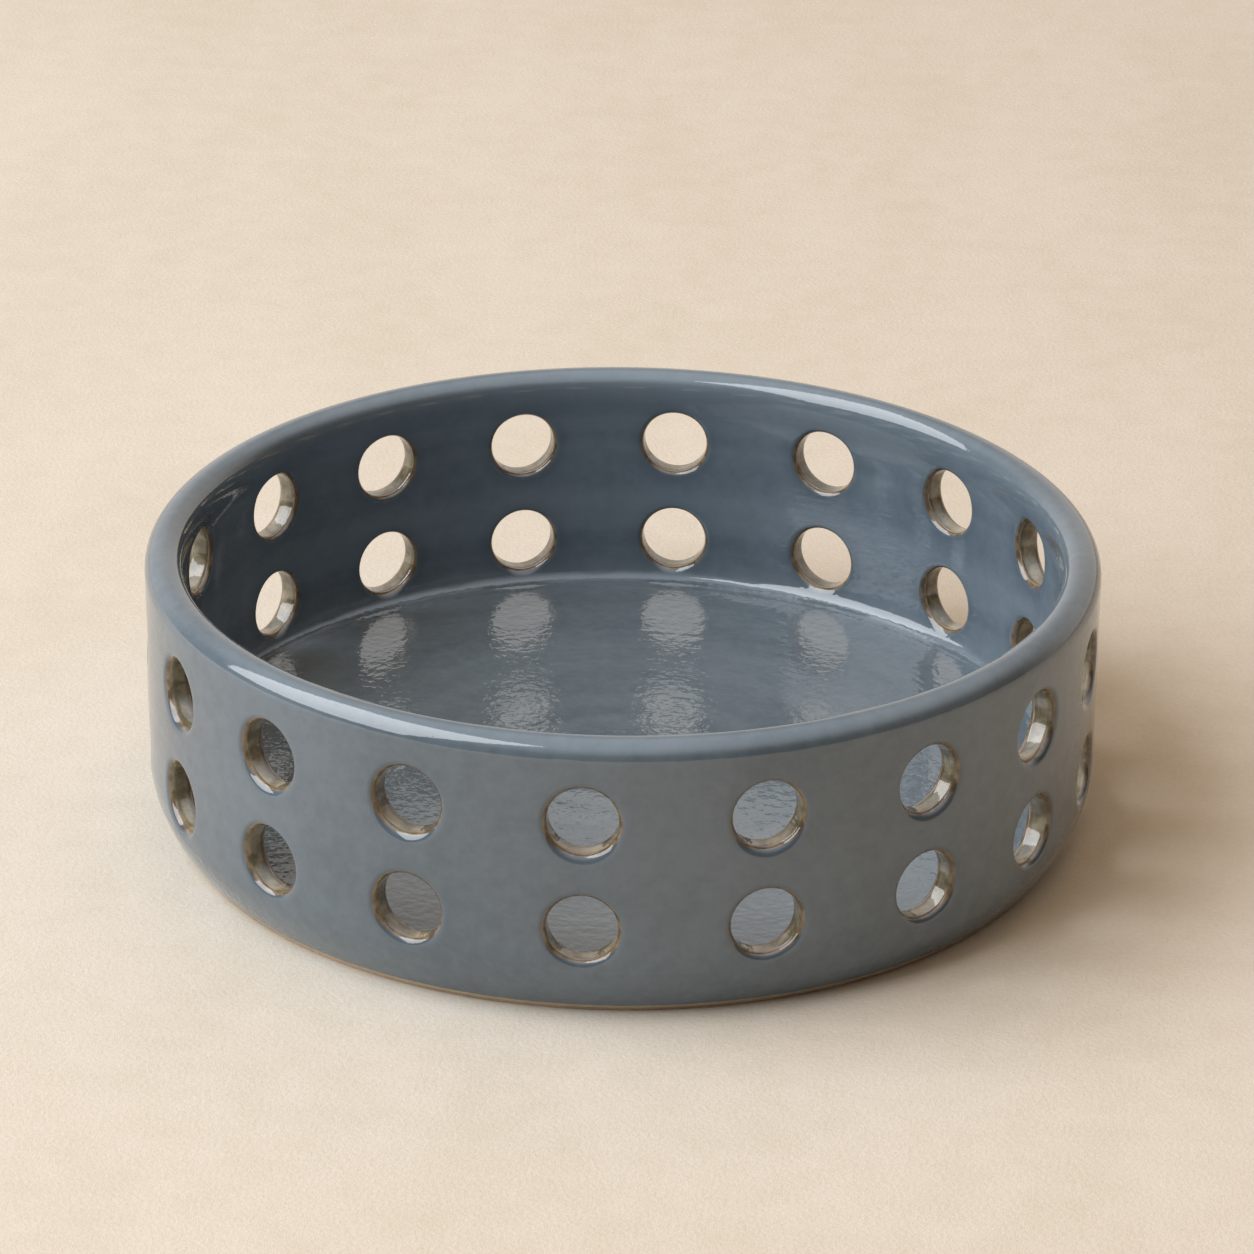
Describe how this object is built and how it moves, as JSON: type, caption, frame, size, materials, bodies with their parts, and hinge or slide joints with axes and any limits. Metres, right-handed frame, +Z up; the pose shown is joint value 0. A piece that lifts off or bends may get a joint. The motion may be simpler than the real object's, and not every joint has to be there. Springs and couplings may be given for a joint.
{
  "type": "serving bowl",
  "caption": "Low drum-shaped serving bowl in blue-grey glazed stoneware, with rows of round holes through its upright wall, a rounded rim and a bare clay foot.",
  "frame": {"origin": "centre of the foot, on the table surface", "axes": "+Z up along the bowl's axis; -Y is the side that one column of holes faces; +X is the side that the hand-set columns crowd towards"},
  "size_m": [0.29, 0.29, 0.089],
  "materials": {
    "bare_clay": "matt fired stoneware clay",
    "blue_glaze": "glossy blue-grey glaze",
    "thin_glaze": "glossy thin glaze over tan clay"
  },
  "bodies": {
    "root": {"floor_slab": "bare_clay", "foot_ring": "bare_clay", "pierced_wall": "bare_clay", "cove_coil": "bare_clay", "rim_coil": "bare_clay", "outer_glaze": "blue_glaze", "liner_glaze": "blue_glaze", "upper_bore_glaze": "thin_glaze", "lower_bore_glaze": "thin_glaze"}
  },
  "joints": []
}
